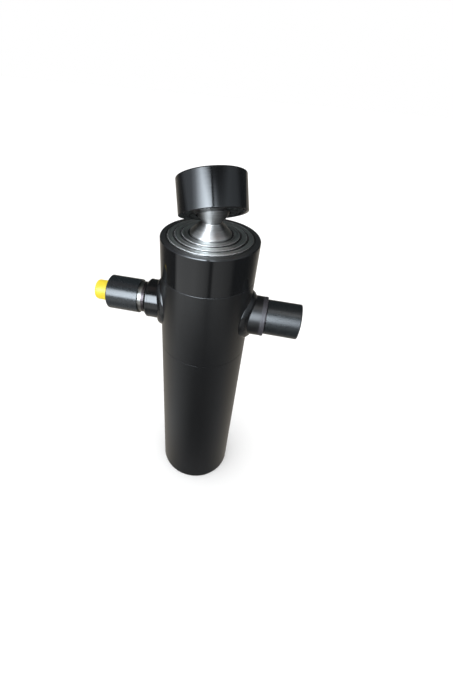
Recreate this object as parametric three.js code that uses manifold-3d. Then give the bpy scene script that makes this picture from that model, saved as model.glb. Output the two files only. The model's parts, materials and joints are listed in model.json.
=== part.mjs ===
// Telescopic hydraulic cylinder: a trunnion-mounted barrel, three hollow stages and a plunger that
// slide out of one another, and a cap that swivels and tilts on the plunger's ball.
// Millimetres, +Z up the barrel. The origin is the centre of the barrel's bottom face, the trunnions
// lie along X, and the trunnion on the -X side carries the oil port.
import * as THREE from 'three';
import { mergeVertices } from 'three/addons/utils/BufferGeometryUtils.js';
import Module from 'manifold-3d';

const wasm = await Module();
wasm.setup();

// ---------- driving dimensions ----------
const SEGMENTS = 24;                 // flats round every turned piece, so that nested flats line up
const BALL_SEGMENTS = 32;
const ARC_STEP = 12;                 // most degrees between the points of a ball's outline
const GAP = 0.3;                     // joint line between two pieces that touch
const RUNNING_GAP = 0.4;             // clearance of a sliding fit
const BALL_GAP = 0.5;                // clearance of the ball in its seat

const BARREL_LENGTH = 468;
const BARREL_RADIUS = 63;
const LOWER_SEAM_Z = 301.7;          // trunnion section's lower joint line
const UPPER_SEAM_Z = 417.6;          // trunnion section's upper joint line
const BASE_PLUG_HEIGHT = 20;
const BASE_CHAMFER = 2;
const RIM_CHAMFER = 0.5;             // on each stage's top edge
const BARREL_RIM_WIDTH = 0.7;        // the barrel's top edge slopes more steeply
const BARREL_RIM_DEPTH = 1.1;

// Tubes from the outside in: the barrel, three stages and the plunger.
const TUBE_RADII = [BARREL_RADIUS, 53.5, 45, 36, 26];
const BORE_RADII = [57.3, 49, 40, 30.3, 18];
const STEP_UP = 1.5;                 // each tube's top stands this much above the one around it
const LEDGE_HEIGHT = 6;              // inward ledge that carries the next tube's foot
const LEDGE_WIDTH = 7;

const HEAD_LENGTH = 48;              // narrow bore at each tube's top
const WIPER_LIP_DEPTH = 1.5;
const WIPER_LIP_WIDTH = 2.2;
const GROOVE_DEPTH = 4;              // radial, in each head
const WIPER_GROOVE = [1.5, 6.5];     // from each head's top face, downwards
const SEAL_GROOVE = [11, 19];
const BUSH_GROOVE = [23, 43];
const RING_STAND_PROUD = 0.05;       // how far the head's rings reach past its bore towards the rod

const STROKE = 350;
const FOOT_GROOVE_DEPTH = 2;
const GUIDE_RING_HEIGHT = 18;
const STOP_RING_HEIGHT = 5;
const GUIDE_TO_STOP = 3;             // land between a foot's guide ring and stop ring

const TRUNNION_Z = 362;
const COLLAR_RADIUS = 27.8;
const COLLAR_FACE_X = 86;
const LEFT_COLLAR_CHAMFER = 3.5;
const RIGHT_COLLAR_CHAMFER = 0.8;
const WELD_SIZE = 3.5;               // step of weld round each collar's foot, across and up
const SADDLE_DEPTH = 18.5;           // how far round the barrel's side a collar's foot reaches
const PIN_RADIUS = 22.2;
const PIN_ROOT_X = 60;
const PIN_END_X = 131;
const PIN_CHAMFER = 1.5;
const CENTRE_DRILL_RADIUS = 3;
const OIL_BORE_RADIUS = 7;
const SLEEVE_OUTER_RADIUS = 24.5;
const SLEEVE_LENGTH = 47;
const SLEEVE_CHAMFER = 1;
const LEFT_SLEEVE_X = -95.4;         // inner end of the sleeve that has crept outwards
const NIPPLE_RADIUS = 13.2;
const NIPPLE_END_X = -160.5;
const NIPPLE_SPIGOT_RADIUS = 10.5;
const NIPPLE_SPIGOT_LENGTH = 22;
const NIPPLE_CHAMFER = 1;
const PORT_CAP_RADIUS = 14.8;
const PORT_CAP_END_X = -163.5;
const PORT_CAP_LENGTH = 24;
const PORT_CAP_CHAMFER = 2;

const BALL_HEIGHT = 38.4;            // ball centre above the barrel's top face
const BALL_RADIUS = 21.5;
const NECK_RADIUS = 12;
const NECK_DROP = 19.2;              // neck below the ball centre
const BALL_END_SEAM_DEPTH = 10;      // from the barrel's top down to the plunger's end piece
const BALL_SPIGOT_LENGTH = 30;       // inside the plunger's tube
const LINER_THICKNESS = 3;
const LINER_ANGLES = [14, 60];       // from the plunger's axis
const CAP_RADIUS = 41.9;
const CAP_TOP = 32;                  // cap faces measured from the ball centre along the cap's axis
const CAP_BOTTOM = -10.2;
const CAP_CHAMFER = 0.8;
const MOUTH_RADIUS = 20.8;
const MOUTH_LAND = 2;                // straight part of the mouth, below the seat
const RETAINER_RADIUS = 28.3;
const RETAINER_TOP = -3;
const CAP_TILT = 30.5;               // degrees that the cap leans over
const CAP_LEAN_AZIMUTH = 114.4;      // degrees from +X of the side that it leans to

const BALL_CENTRE = new THREE.Vector3(0, 0, BARREL_LENGTH + BALL_HEIGHT);

// ---------- materials ----------
const BLACK_PAINT = { color: 0x0c0e10, roughness: 0.22, metalness: 0.1 };
const TURNED_STEEL = { color: 0xb9babb, roughness: 0.22, metalness: 1 };
const DULL_STEEL = { color: 0x8d8f91, roughness: 0.42, metalness: 1 };
const BRONZE = { color: 0xa9793f, roughness: 0.4, metalness: 1 };
const BLACK_RUBBER = { color: 0x101112, roughness: 0.7, metalness: 0 };
const GREEN_SEAL = { color: 0x2d5a4a, roughness: 0.55, metalness: 0 };
const BLACK_PLASTIC = { color: 0x161719, roughness: 0.5, metalness: 0 };
const YELLOW_PLASTIC = { color: 0xf2c928, roughness: 0.45, metalness: 0 };

const object = new THREE.Group();

function addMesh(name, geometry, finish, place = object) {
  const mesh = new THREE.Mesh(geometry, new THREE.MeshStandardMaterial(finish));
  mesh.name = name;
  place.add(mesh);
  return mesh;
}

// ---------- turned shapes ----------
// A profile is a list of [radius, height] points, anticlockwise with the material on its left: up the
// outside and down the inside. It closes on itself, or starts and ends on the axis.
function turned(profile, segments = SEGMENTS) {
  const points = profile.map(([radius, height]) => new THREE.Vector2(radius, height));
  if (profile[0][0] > 0) points.push(points[0].clone());
  return new THREE.LatheGeometry(points, segments).rotateX(Math.PI / 2).rotateZ(Math.PI / 2);
}

function ring(inner, outer, low, high) {
  return turned([[inner, low], [outer, low], [outer, high], [inner, high]]);
}

// A turned shape laid along X with its profile's heights read as distances along X.
function turnedAlongX(profile) {
  return turned(profile).rotateY(Math.PI / 2).translate(0, 0, TRUNNION_Z);
}

// Points of a circle round the origin of a [radius, height] profile, between two angles in degrees
// measured from the axis.
function sphereArc(radius, from, to) {
  const steps = Math.ceil(Math.abs(to - from) / ARC_STEP);
  return Array.from({ length: steps + 1 }, (_, i) => {
    const angle = THREE.MathUtils.degToRad(from + ((to - from) * i) / steps);
    return [radius * Math.sin(angle), radius * Math.cos(angle)];
  });
}

// ---------- booleans ----------
function solid(geometry) {
  const bare = geometry.clone();
  bare.deleteAttribute('normal');
  bare.deleteAttribute('uv');
  const merged = mergeVertices(bare, 1e-4);
  return new wasm.Manifold(new wasm.Mesh({
    numProp: 3,
    vertProperties: new Float32Array(merged.attributes.position.array),
    triVerts: new Uint32Array(merged.index.array),
  }));
}

function toGeometry(manifold) {
  const mesh = manifold.getMesh();
  const geometry = new THREE.BufferGeometry();
  geometry.setAttribute('position', new THREE.BufferAttribute(mesh.vertProperties, mesh.numProp));
  geometry.setIndex(new THREE.BufferAttribute(mesh.triVerts, 1));
  return geometry;
}

// ---------- heads: wiper, rod seal and guide bush in each tube's top ----------
const topOf = (tube) => BARREL_LENGTH + STEP_UP * tube;
const footOf = (tube) => BASE_PLUG_HEIGHT + GAP + (tube - 1) * (LEDGE_HEIGHT + GAP);

// The inside of a tube's head, from its top face down to the main bore.
function headProfile(tube) {
  const top = topOf(tube);
  const rod = TUBE_RADII[tube + 1];
  const bore = rod + RUNNING_GAP;
  const groove = rod + GROOVE_DEPTH;
  const levels = ([upper, lower]) => [
    [bore, top - upper], [groove, top - upper], [groove, top - lower], [bore, top - lower],
  ];
  return [
    [rod + WIPER_LIP_WIDTH, top],
    [rod + WIPER_LIP_WIDTH, top - WIPER_LIP_DEPTH],
    ...levels(WIPER_GROOVE).slice(1),
    ...levels(SEAL_GROOVE),
    ...levels(BUSH_GROOVE),
    [bore, top - HEAD_LENGTH],
    [BORE_RADII[tube], top - HEAD_LENGTH],
  ];
}

function addHeadRings(tube, prefix) {
  const top = topOf(tube);
  const rod = TUBE_RADII[tube + 1];
  const inner = rod + RUNNING_GAP - RING_STAND_PROUD;
  const outer = rod + GROOVE_DEPTH - GAP;
  const lip = rod + WIPER_LIP_WIDTH - GAP;
  const grooveRing = ([upper, lower]) => ring(inner, outer, top - lower + GAP, top - upper - GAP);
  const [wiperTop, wiperBottom] = WIPER_GROOVE;
  const wiper = turned([
    [inner, top - wiperBottom + GAP], [outer, top - wiperBottom + GAP], [outer, top - wiperTop - GAP],
    [lip, top - wiperTop - GAP], [lip, top - GAP], [inner, top - GAP],
  ]);
  addMesh(`${prefix}_wiper`, wiper, BLACK_RUBBER);
  addMesh(`${prefix}_rod_seal`, grooveRing(SEAL_GROOVE), GREEN_SEAL);
  addMesh(`${prefix}_guide_bush`, grooveRing(BUSH_GROOVE), BRONZE);
}

// ---------- feet: guide ring and stop ring near each tube's bottom ----------
// The stop ring meets the shoulder under the surrounding tube's head at the end of the stroke.
function footLevels(tube) {
  const stopTop = topOf(tube - 1) - HEAD_LENGTH - STROKE - GAP;
  const stopBottom = stopTop - STOP_RING_HEIGHT;
  const guideTop = stopBottom - GUIDE_TO_STOP;
  return { stopTop, stopBottom, guideTop, guideBottom: guideTop - GUIDE_RING_HEIGHT };
}

function footProfile(tube) {
  const radius = TUBE_RADII[tube];
  const groove = radius - FOOT_GROOVE_DEPTH;
  const { stopTop, stopBottom, guideTop, guideBottom } = footLevels(tube);
  return [
    [radius, guideBottom], [groove, guideBottom], [groove, guideTop], [radius, guideTop],
    [radius, stopBottom], [groove, stopBottom], [groove, stopTop], [radius, stopTop],
  ];
}

function addFootRings(tube, prefix) {
  const inner = TUBE_RADII[tube] - FOOT_GROOVE_DEPTH + GAP;
  const outer = BORE_RADII[tube - 1] - RUNNING_GAP;
  const { stopTop, stopBottom, guideTop, guideBottom } = footLevels(tube);
  addMesh(`${prefix}_guide_ring`, ring(inner, outer, guideBottom + GAP, guideTop - GAP), BRONZE);
  addMesh(`${prefix}_stop_ring`, ring(inner, outer, stopBottom + GAP, stopTop - GAP), DULL_STEEL);
}

// ---------- barrel ----------
function barrelTube() {
  return turned([
    [BORE_RADII[0], 0],
    [BARREL_RADIUS - BASE_CHAMFER, 0],
    [BARREL_RADIUS, BASE_CHAMFER],
    [BARREL_RADIUS, LOWER_SEAM_Z - GAP / 2],
    [BORE_RADII[0], LOWER_SEAM_Z - GAP / 2],
  ]);
}

function headCollar() {
  return turned([
    [BORE_RADII[0], UPPER_SEAM_Z + GAP / 2],
    [BARREL_RADIUS, UPPER_SEAM_Z + GAP / 2],
    [BARREL_RADIUS, BARREL_LENGTH - BARREL_RIM_DEPTH],
    [BARREL_RADIUS - BARREL_RIM_WIDTH, BARREL_LENGTH],
    ...headProfile(0),
  ]);
}

// A solid upright cylinder over the height of the barrel's trunnion section.
function uprightCylinder(radius) {
  const low = LOWER_SEAM_Z;
  const high = UPPER_SEAM_Z;
  return solid(turned([[0, low], [radius, low], [radius, high], [0, high]]));
}

// The barrel's middle section, with a shallow socket for each pin and the oil hole.
function trunnionSection() {
  const low = LOWER_SEAM_Z + GAP / 2;
  const high = UPPER_SEAM_Z - GAP / 2;
  const bore = BORE_RADII[0];
  const shell = turned([[bore, low], [BARREL_RADIUS, low], [BARREL_RADIUS, high], [bore, high]]);
  const socketRadius = PIN_RADIUS + GAP;
  const socket = turnedAlongX([
    [0, PIN_ROOT_X - GAP], [socketRadius, PIN_ROOT_X - GAP],
    [socketRadius, COLLAR_FACE_X], [0, COLLAR_FACE_X],
  ]);
  const oilHole = turnedAlongX([
    [0, -COLLAR_FACE_X], [OIL_BORE_RADIUS, -COLLAR_FACE_X], [OIL_BORE_RADIUS, 0], [0, 0],
  ]);
  return toGeometry(solid(shell)
    .subtract(solid(socket))
    .subtract(solid(socket.clone().rotateZ(Math.PI)))
    .subtract(solid(oilHole)));
}

// A collar: a ring round the pin, saddled onto the barrel, with a step of weld round its foot.
function collar(chamfer) {
  const root = BARREL_RADIUS - SADDLE_DEPTH;
  const bore = PIN_RADIUS + GAP;
  const boss = turnedAlongX([
    [bore, root],
    [COLLAR_RADIUS, root],
    [COLLAR_RADIUS, COLLAR_FACE_X - chamfer],
    [COLLAR_RADIUS - chamfer, COLLAR_FACE_X],
    [bore, COLLAR_FACE_X],
  ]);
  const weldOuter = COLLAR_RADIUS + WELD_SIZE;
  const weldTop = BARREL_RADIUS + 2 * WELD_SIZE;
  const weld = turnedAlongX([
    [bore, root], [weldOuter, root], [weldOuter, weldTop], [bore, weldTop],
  ]);
  return toGeometry(solid(weld)
    .intersect(uprightCylinder(BARREL_RADIUS + WELD_SIZE))
    .add(solid(boss))
    .subtract(uprightCylinder(BARREL_RADIUS + GAP)));
}

function basePlug() {
  const radius = BORE_RADII[0] - GAP;
  return turned([[0, 0], [radius, 0], [radius, BASE_PLUG_HEIGHT], [0, BASE_PLUG_HEIGHT]]);
}

// ---------- trunnions ----------
// Both pins are drawn on the side of positive X. The left one is turned round afterwards.
function rightTrunnion() {
  return turnedAlongX([
    [0, PIN_ROOT_X],
    [PIN_RADIUS, PIN_ROOT_X],
    [PIN_RADIUS, PIN_END_X - PIN_CHAMFER],
    [PIN_RADIUS - PIN_CHAMFER, PIN_END_X],
    [CENTRE_DRILL_RADIUS, PIN_END_X],
    [0, PIN_END_X - CENTRE_DRILL_RADIUS],
  ]);
}

function leftTrunnion() {
  const counterbore = NIPPLE_SPIGOT_RADIUS + GAP;
  const counterboreFloor = PIN_END_X - NIPPLE_SPIGOT_LENGTH - GAP;
  return turnedAlongX([
    [OIL_BORE_RADIUS, PIN_ROOT_X],
    [PIN_RADIUS, PIN_ROOT_X],
    [PIN_RADIUS, PIN_END_X - PIN_CHAMFER],
    [PIN_RADIUS - PIN_CHAMFER, PIN_END_X],
    [counterbore, PIN_END_X],
    [counterbore, counterboreFloor],
    [OIL_BORE_RADIUS, counterboreFloor],
  ]).rotateZ(Math.PI);
}

function sleeve(innerEnd) {
  const bore = PIN_RADIUS + GAP;
  const outerEnd = innerEnd + SLEEVE_LENGTH;
  return turnedAlongX([
    [bore, innerEnd],
    [SLEEVE_OUTER_RADIUS, innerEnd],
    [SLEEVE_OUTER_RADIUS, outerEnd - SLEEVE_CHAMFER],
    [SLEEVE_OUTER_RADIUS - SLEEVE_CHAMFER, outerEnd],
    [bore, outerEnd],
  ]);
}

// A bored nipple: a spigot in the trunnion's end and a threaded nose under the port cap.
function portNipple() {
  const noseStart = PIN_END_X + GAP;
  const noseEnd = -NIPPLE_END_X;
  return turnedAlongX([
    [OIL_BORE_RADIUS, PIN_END_X - NIPPLE_SPIGOT_LENGTH],
    [NIPPLE_SPIGOT_RADIUS, PIN_END_X - NIPPLE_SPIGOT_LENGTH],
    [NIPPLE_SPIGOT_RADIUS, noseStart],
    [NIPPLE_RADIUS, noseStart],
    [NIPPLE_RADIUS, noseEnd - NIPPLE_CHAMFER],
    [NIPPLE_RADIUS - NIPPLE_CHAMFER, noseEnd],
    [OIL_BORE_RADIUS, noseEnd],
  ]).rotateZ(Math.PI);
}

function portCap() {
  const wall = PORT_CAP_RADIUS - NIPPLE_RADIUS - GAP;
  const closedEnd = -PORT_CAP_END_X;
  const openEnd = closedEnd - PORT_CAP_LENGTH;
  const floor = -NIPPLE_END_X + GAP;
  return turnedAlongX([
    [PORT_CAP_RADIUS - wall, openEnd],
    [PORT_CAP_RADIUS, openEnd],
    [PORT_CAP_RADIUS, closedEnd - PORT_CAP_CHAMFER],
    [PORT_CAP_RADIUS - PORT_CAP_CHAMFER, closedEnd],
    [0, closedEnd],
    [0, floor],
    [PORT_CAP_RADIUS - wall, floor],
  ]).rotateZ(Math.PI);
}

// ---------- stages ----------
function stageTube(tube) {
  const radius = TUBE_RADII[tube];
  const bore = BORE_RADII[tube];
  const bottom = footOf(tube);
  const top = topOf(tube);
  return turned([
    [bore - LEDGE_WIDTH, bottom],
    [radius, bottom],
    ...footProfile(tube),
    [radius, top - RIM_CHAMFER],
    [radius - RIM_CHAMFER, top],
    ...headProfile(tube),
    [bore, bottom + LEDGE_HEIGHT],
    [bore - LEDGE_WIDTH, bottom + LEDGE_HEIGHT],
  ]);
}

const PLUNGER = TUBE_RADII.length - 1;
const BALL_END_SEAM_Z = BARREL_LENGTH - BALL_END_SEAM_DEPTH;

function plungerTube() {
  const radius = TUBE_RADII[PLUNGER];
  return turned([
    [BORE_RADII[PLUNGER], footOf(PLUNGER)],
    [radius, footOf(PLUNGER)],
    ...footProfile(PLUNGER),
    [radius, BALL_END_SEAM_Z],
    [BORE_RADII[PLUNGER], BALL_END_SEAM_Z],
  ]);
}

// The plunger's end: a spigot in the tube, a short cylinder, a cone, a neck and the ball.
function ballEnd() {
  const spigotRadius = BORE_RADII[PLUNGER] - GAP;
  const centre = BALL_CENTRE.z;
  const neckAngle = 180 - THREE.MathUtils.radToDeg(Math.asin(NECK_RADIUS / BALL_RADIUS));
  const ball = sphereArc(BALL_RADIUS, neckAngle, 0).map(([radius, height]) => [radius, centre + height]);
  return turned([
    [0, BALL_END_SEAM_Z - BALL_SPIGOT_LENGTH],
    [spigotRadius, BALL_END_SEAM_Z - BALL_SPIGOT_LENGTH],
    [spigotRadius, BALL_END_SEAM_Z + GAP],
    [TUBE_RADII[PLUNGER], BALL_END_SEAM_Z + GAP],
    [TUBE_RADII[PLUNGER], topOf(PLUNGER)],
    [NECK_RADIUS, centre - NECK_DROP],
    ...ball.slice(0, -1),
    [0, centre + BALL_RADIUS],
  ]);
}

// ---------- ball cap ----------
const SEAT_RADIUS = BALL_RADIUS + BALL_GAP;
const SOCKET_RADIUS = SEAT_RADIUS + LINER_THICKNESS + BALL_GAP;

function socketLiner() {
  const [top, bottom] = LINER_ANGLES;
  return turned([
    ...sphereArc(SEAT_RADIUS + LINER_THICKNESS, bottom, top),
    ...sphereArc(SEAT_RADIUS, top, bottom),
  ], BALL_SEGMENTS);
}

function retainingRing() {
  const angleAt = (height) => 90 - THREE.MathUtils.radToDeg(Math.asin(height / SEAT_RADIUS));
  return turned([
    [MOUTH_RADIUS, CAP_BOTTOM],
    [RETAINER_RADIUS, CAP_BOTTOM],
    [RETAINER_RADIUS, RETAINER_TOP],
    ...sphereArc(SEAT_RADIUS, angleAt(RETAINER_TOP), angleAt(CAP_BOTTOM + MOUTH_LAND)),
  ], BALL_SEGMENTS);
}

function ballCap() {
  const retainerBore = RETAINER_RADIUS + BALL_GAP;
  const shoulder = RETAINER_TOP + GAP;
  return turned([
    [retainerBore, CAP_BOTTOM],
    [CAP_RADIUS - CAP_CHAMFER, CAP_BOTTOM],
    [CAP_RADIUS, CAP_BOTTOM + CAP_CHAMFER],
    [CAP_RADIUS, CAP_TOP - CAP_CHAMFER],
    [CAP_RADIUS - CAP_CHAMFER, CAP_TOP],
    [0, CAP_TOP],
    ...sphereArc(SOCKET_RADIUS, 0, 90),
    [SOCKET_RADIUS, shoulder],
    [retainerBore, shoulder],
  ], BALL_SEGMENTS);
}

// The cap and its retaining ring lean over together about the ball's centre.
function leaningGroup() {
  const group = new THREE.Group();
  const azimuth = THREE.MathUtils.degToRad(CAP_LEAN_AZIMUTH);
  const tiltAxis = new THREE.Vector3(-Math.sin(azimuth), Math.cos(azimuth), 0);
  const tilt = new THREE.Quaternion().setFromAxisAngle(tiltAxis, THREE.MathUtils.degToRad(CAP_TILT));
  const facing = new THREE.Quaternion().setFromAxisAngle(new THREE.Vector3(0, 0, 1), azimuth);
  group.quaternion.copy(tilt.multiply(facing));
  group.position.copy(BALL_CENTRE);
  return group;
}

// ---------- assembly ----------
addMesh('barrel_tube', barrelTube(), BLACK_PAINT);
addMesh('trunnion_section', trunnionSection(), BLACK_PAINT);
addMesh('left_collar', collar(LEFT_COLLAR_CHAMFER).rotateZ(Math.PI), BLACK_PAINT);
addMesh('right_collar', collar(RIGHT_COLLAR_CHAMFER), BLACK_PAINT);
addMesh('head_collar', headCollar(), BLACK_PAINT);
addMesh('base_plug', basePlug(), BLACK_PAINT);
addHeadRings(0, 'barrel');

addMesh('left_trunnion', leftTrunnion(), DULL_STEEL);
addMesh('right_trunnion', rightTrunnion(), DULL_STEEL);
addMesh('left_sleeve', sleeve(-LEFT_SLEEVE_X).rotateZ(Math.PI), BLACK_PLASTIC);
addMesh('right_sleeve', sleeve(COLLAR_FACE_X + GAP), BLACK_PLASTIC);
addMesh('port_nipple', portNipple(), DULL_STEEL);
addMesh('port_cap', portCap(), YELLOW_PLASTIC);

for (const tube of [1, 2, 3]) {
  const name = `stage_${tube}`;
  addMesh(`${name}_tube`, stageTube(tube), TURNED_STEEL);
  addHeadRings(tube, name);
  addFootRings(tube, name);
}

addMesh('plunger_tube', plungerTube(), TURNED_STEEL);
addMesh('ball_end', ballEnd(), TURNED_STEEL);
addFootRings(PLUNGER, 'plunger');

const upright = new THREE.Group();
upright.position.copy(BALL_CENTRE);
addMesh('socket_liner', socketLiner(), BRONZE, upright);
const leaning = leaningGroup();
addMesh('retaining_ring', retainingRing(), BLACK_PAINT, leaning);
addMesh('ball_cap', ballCap(), BLACK_PAINT, leaning);
object.add(upright, leaning);

export default object;
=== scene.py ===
"""The looks of the telescopic hydraulic cylinder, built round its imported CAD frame.

Every CAD node is replaced by a smooth, finely rounded piece of the same size. Most pieces are
turned: their half section is read from the CAD node, its corners are rounded, and it is swept
round its axis.
"""

import json
import math

import bpy
from mathutils import Matrix, Vector, noise

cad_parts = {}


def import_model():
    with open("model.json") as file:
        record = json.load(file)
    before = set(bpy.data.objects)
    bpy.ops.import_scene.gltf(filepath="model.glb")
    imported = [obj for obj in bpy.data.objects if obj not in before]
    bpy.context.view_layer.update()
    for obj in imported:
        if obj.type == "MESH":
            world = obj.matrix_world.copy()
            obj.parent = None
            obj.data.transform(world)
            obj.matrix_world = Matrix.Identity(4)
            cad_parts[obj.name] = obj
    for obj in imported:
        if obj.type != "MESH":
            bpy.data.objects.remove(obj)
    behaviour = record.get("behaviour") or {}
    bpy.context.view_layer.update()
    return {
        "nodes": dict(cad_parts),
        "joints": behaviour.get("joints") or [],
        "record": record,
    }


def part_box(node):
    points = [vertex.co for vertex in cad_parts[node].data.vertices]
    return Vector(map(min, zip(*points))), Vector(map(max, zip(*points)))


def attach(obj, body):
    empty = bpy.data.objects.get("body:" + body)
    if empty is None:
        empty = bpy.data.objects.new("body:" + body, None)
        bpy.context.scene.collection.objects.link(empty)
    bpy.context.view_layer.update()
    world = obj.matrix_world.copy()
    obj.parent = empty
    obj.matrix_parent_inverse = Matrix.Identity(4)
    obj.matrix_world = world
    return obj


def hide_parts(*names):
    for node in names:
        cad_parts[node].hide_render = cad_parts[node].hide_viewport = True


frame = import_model()

MM = 0.001
SHARP_ANGLE = math.radians(38)   # edges that turn more than this stay crisp
SAME_POINT = 0.02 * MM           # points nearer than this are one point
SIDES = 192                      # facets round a turned piece
WIDE_SIDES = 256                 # facets round a piece as wide as the barrel
AROUND = "around"                # UV map: share of the way round, metres along the section

BODIES = frame["record"]["behaviour"]["bodies"]
BODY_OF = {node: body for body, nodes in BODIES.items() for node in nodes}
JOINTS = {joint["name"]: joint for joint in frame["joints"]}


# ---------- places ----------
def place(axis, radial, origin):
    """A matrix whose Z is the piece's axis and whose X is the direction of its first facet."""
    z = Vector(axis).normalized()
    x = Vector(radial).normalized()
    turned = Matrix((x, z.cross(x), z)).transposed().to_4x4()
    return Matrix.Translation(origin) @ turned


def cap_place():
    """The ball cap's axis, through the ball's centre."""
    axis = Vector(JOINTS["cap_spin"]["axis"]).normalized()
    lean = Vector((axis.x, axis.y, 0)).normalized()
    return place(axis, lean - axis * lean.dot(axis), JOINTS["cap_spin"]["pos_m"])


pin_low, pin_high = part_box("right_trunnion")
TRUNNION_CENTRE = (0, 0, (pin_low.z + pin_high.z) / 2)
PIN_RADIUS = (pin_high.z - pin_low.z) / 2
BARREL_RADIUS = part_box("head_collar")[1].x
UPRIGHT = Matrix.Identity(4)
BALL_UPRIGHT = Matrix.Translation(JOINTS["cap_swivel"]["pos_m"])
OUT_LEFT = place((-1, 0, 0), (0, 0, 1), TRUNNION_CENTRE)
OUT_RIGHT = place((1, 0, 0), (0, 0, 1), TRUNNION_CENTRE)
CAP = cap_place()


# ---------- turned shapes ----------
CORNER_SHARE = 0.4               # the most of an edge that the curve at its end may take up
SUPPORT = 0.2                    # how far beyond its curve a support point lies, in curve sizes
STRAIGHT_ON = -0.995             # cosine between two edges that count as one straight line
END_FACING = 0.98                # an end face's normal rises more than this
END_DEPTH = 0.3 * MM             # how far below the top the end face may lie
RIM_FACING = 0.1                 # a rim's normal rises more than this, and less than an end face's
RIM_DEPTH = 1.2 * MM


def section(node, where):
    """A turned CAD node's half section, as (radius, height) points round it anticlockwise."""
    mesh = frame["nodes"][node].data
    to_local = where.inverted()
    points, index_of, merged = [], {}, {}
    for vertex in mesh.vertices:
        p = to_local @ vertex.co
        if abs(p.y) > SAME_POINT or p.x < -SAME_POINT:
            continue
        key = (round(p.x / SAME_POINT), round(p.z / SAME_POINT))
        near = [(key[0] + i, key[1] + j) for i in (-1, 0, 1) for j in (-1, 0, 1)]
        found = next((merged[k] for k in near if k in merged), None)
        if found is None:
            found = len(points)
            points.append((max(p.x, 0.0), p.z))
            merged[key] = found
        index_of[vertex.index] = found
    joined = {i: set() for i in range(len(points))}
    for edge in mesh.edges:
        a, b = (index_of.get(v) for v in edge.vertices)
        if a is not None and b is not None and a != b:
            if points[a][0] > SAME_POINT or points[b][0] > SAME_POINT:
                joined[a].add(b)
                joined[b].add(a)
    ends = [i for i in joined if len(joined[i]) == 1]
    chain = [min(ends, key=lambda i: points[i][1]) if ends else 0]
    while True:
        onward = [i for i in joined[chain[-1]] if i not in chain]
        if not onward:
            break
        chain.append(onward[0])
    outline = [points[i] for i in chain]
    if not ends and signed_area(outline) < 0:
        outline.reverse()
    return outline


def signed_area(outline):
    """The area inside an outline, positive if it runs anticlockwise."""
    pairs = zip(outline, outline[1:] + outline[:1])
    return sum(a[0] * b[1] - b[0] * a[1] for a, b in pairs) / 2


def is_closed(outline):
    """A section that doesn't start and end on the axis closes on itself."""
    return outline[0][0] > SAME_POINT or outline[-1][0] > SAME_POINT


def rounded(outline, size, steps=4):
    """The section with its corners turned into curves, and a support point beside each curve.

    size is how far each curve reaches from its corner: one number for all, or one for each corner.
    """
    closed = is_closed(outline)
    count = len(outline)
    points = []
    for i, corner in enumerate(outline):
        if corner[0] < SAME_POINT or (not closed and i in (0, count - 1)):
            points.append(corner)
            continue
        here = Vector(corner)
        before = Vector(outline[i - 1]) - here
        after = Vector(outline[(i + 1) % count]) - here
        wanted = size[i] if isinstance(size, (list, tuple)) else size
        reach = min(wanted, CORNER_SHARE * before.length, CORNER_SHARE * after.length)
        before.normalize()
        after.normalize()
        if before.dot(after) < STRAIGHT_ON:
            points.append(corner)
            continue
        start, end = here + before * reach, here + after * reach
        points.append(tuple(start + before * reach * SUPPORT))
        for step in range(steps + 1):
            t = step / steps
            points.append(tuple(start.lerp(here, t).lerp(here.lerp(end, t), t)))
        points.append(tuple(end + after * reach * SUPPORT))
    return points


def sweep(name, rings, closed, where):
    """A mesh from rings of points: rings[i][j] is point i of the section at angle j.

    Its UV map holds the share of the way round, and the distance along the section in metres.
    """
    sides, count = len(rings[0]), len(rings)
    vertices, first = [], []
    for ring in rings:
        first.append(len(vertices))
        on_axis = all(math.hypot(p[0], p[1]) < SAME_POINT for p in ring)
        vertices.extend(ring[:1] if on_axis else ring)
    sizes = [b - a for a, b in zip(first, first[1:] + [len(vertices)])]
    along = [0.0]
    for i in range(count):
        step = Vector(rings[(i + 1) % count][0]) - Vector(rings[i][0])
        along.append(along[-1] + step.length)
    faces, places = [], []
    for i in range(count if closed else count - 1):
        k = (i + 1) % count
        for j in range(sides):
            m = (j + 1) % sides
            corners = {}
            square = ((i, j, j, i), (i, m, j + 1, i), (k, m, j + 1, i + 1), (k, j, j, i + 1))
            for row, column, u, v in square:
                index = first[row] + (column if sizes[row] > 1 else 0)
                corners.setdefault(index, (u / sides, along[v]))
            if len(corners) > 2:
                faces.append(list(corners))
                places.extend(corners.values())
    mesh = bpy.data.meshes.new(name)
    mesh.from_pydata([where @ Vector(v) for v in vertices], [], faces)
    around = mesh.uv_layers.new(name=AROUND)
    for loop, uv in zip(around.data, places):
        loop.uv = uv
    mesh.shade_smooth()
    mesh.set_sharp_from_angle(angle=SHARP_ANGLE)
    piece = bpy.data.objects.new(name, mesh)
    bpy.context.scene.collection.objects.link(piece)
    return piece


def circle_angles(sides):
    return [2 * math.pi * j / sides for j in range(sides)]


def turn(name, outline, where, sides=SIDES):
    """Sweeps a (radius, height) section round the place's axis."""
    angles = circle_angles(sides)
    rings = [[(r * math.cos(a), r * math.sin(a), h) for a in angles] for r, h in outline]
    return sweep(name, rings, is_closed(outline), where)


def stand_for(piece, node, finish):
    """The piece takes over a CAD node's place and body, gets the finish, and the node is hidden."""
    piece.data.materials.append(finish)
    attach(piece, BODY_OF[node])
    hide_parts(node)
    return piece


def finish_end_face(piece, finish):
    """Gives the flat top of an upright piece its own finish."""
    piece.data.materials.append(finish)
    top = max(v.co.z for v in piece.data.vertices)
    for polygon in piece.data.polygons:
        if polygon.normal.z > END_FACING and polygon.center.z > top - END_DEPTH:
            polygon.material_index = 1


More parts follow.
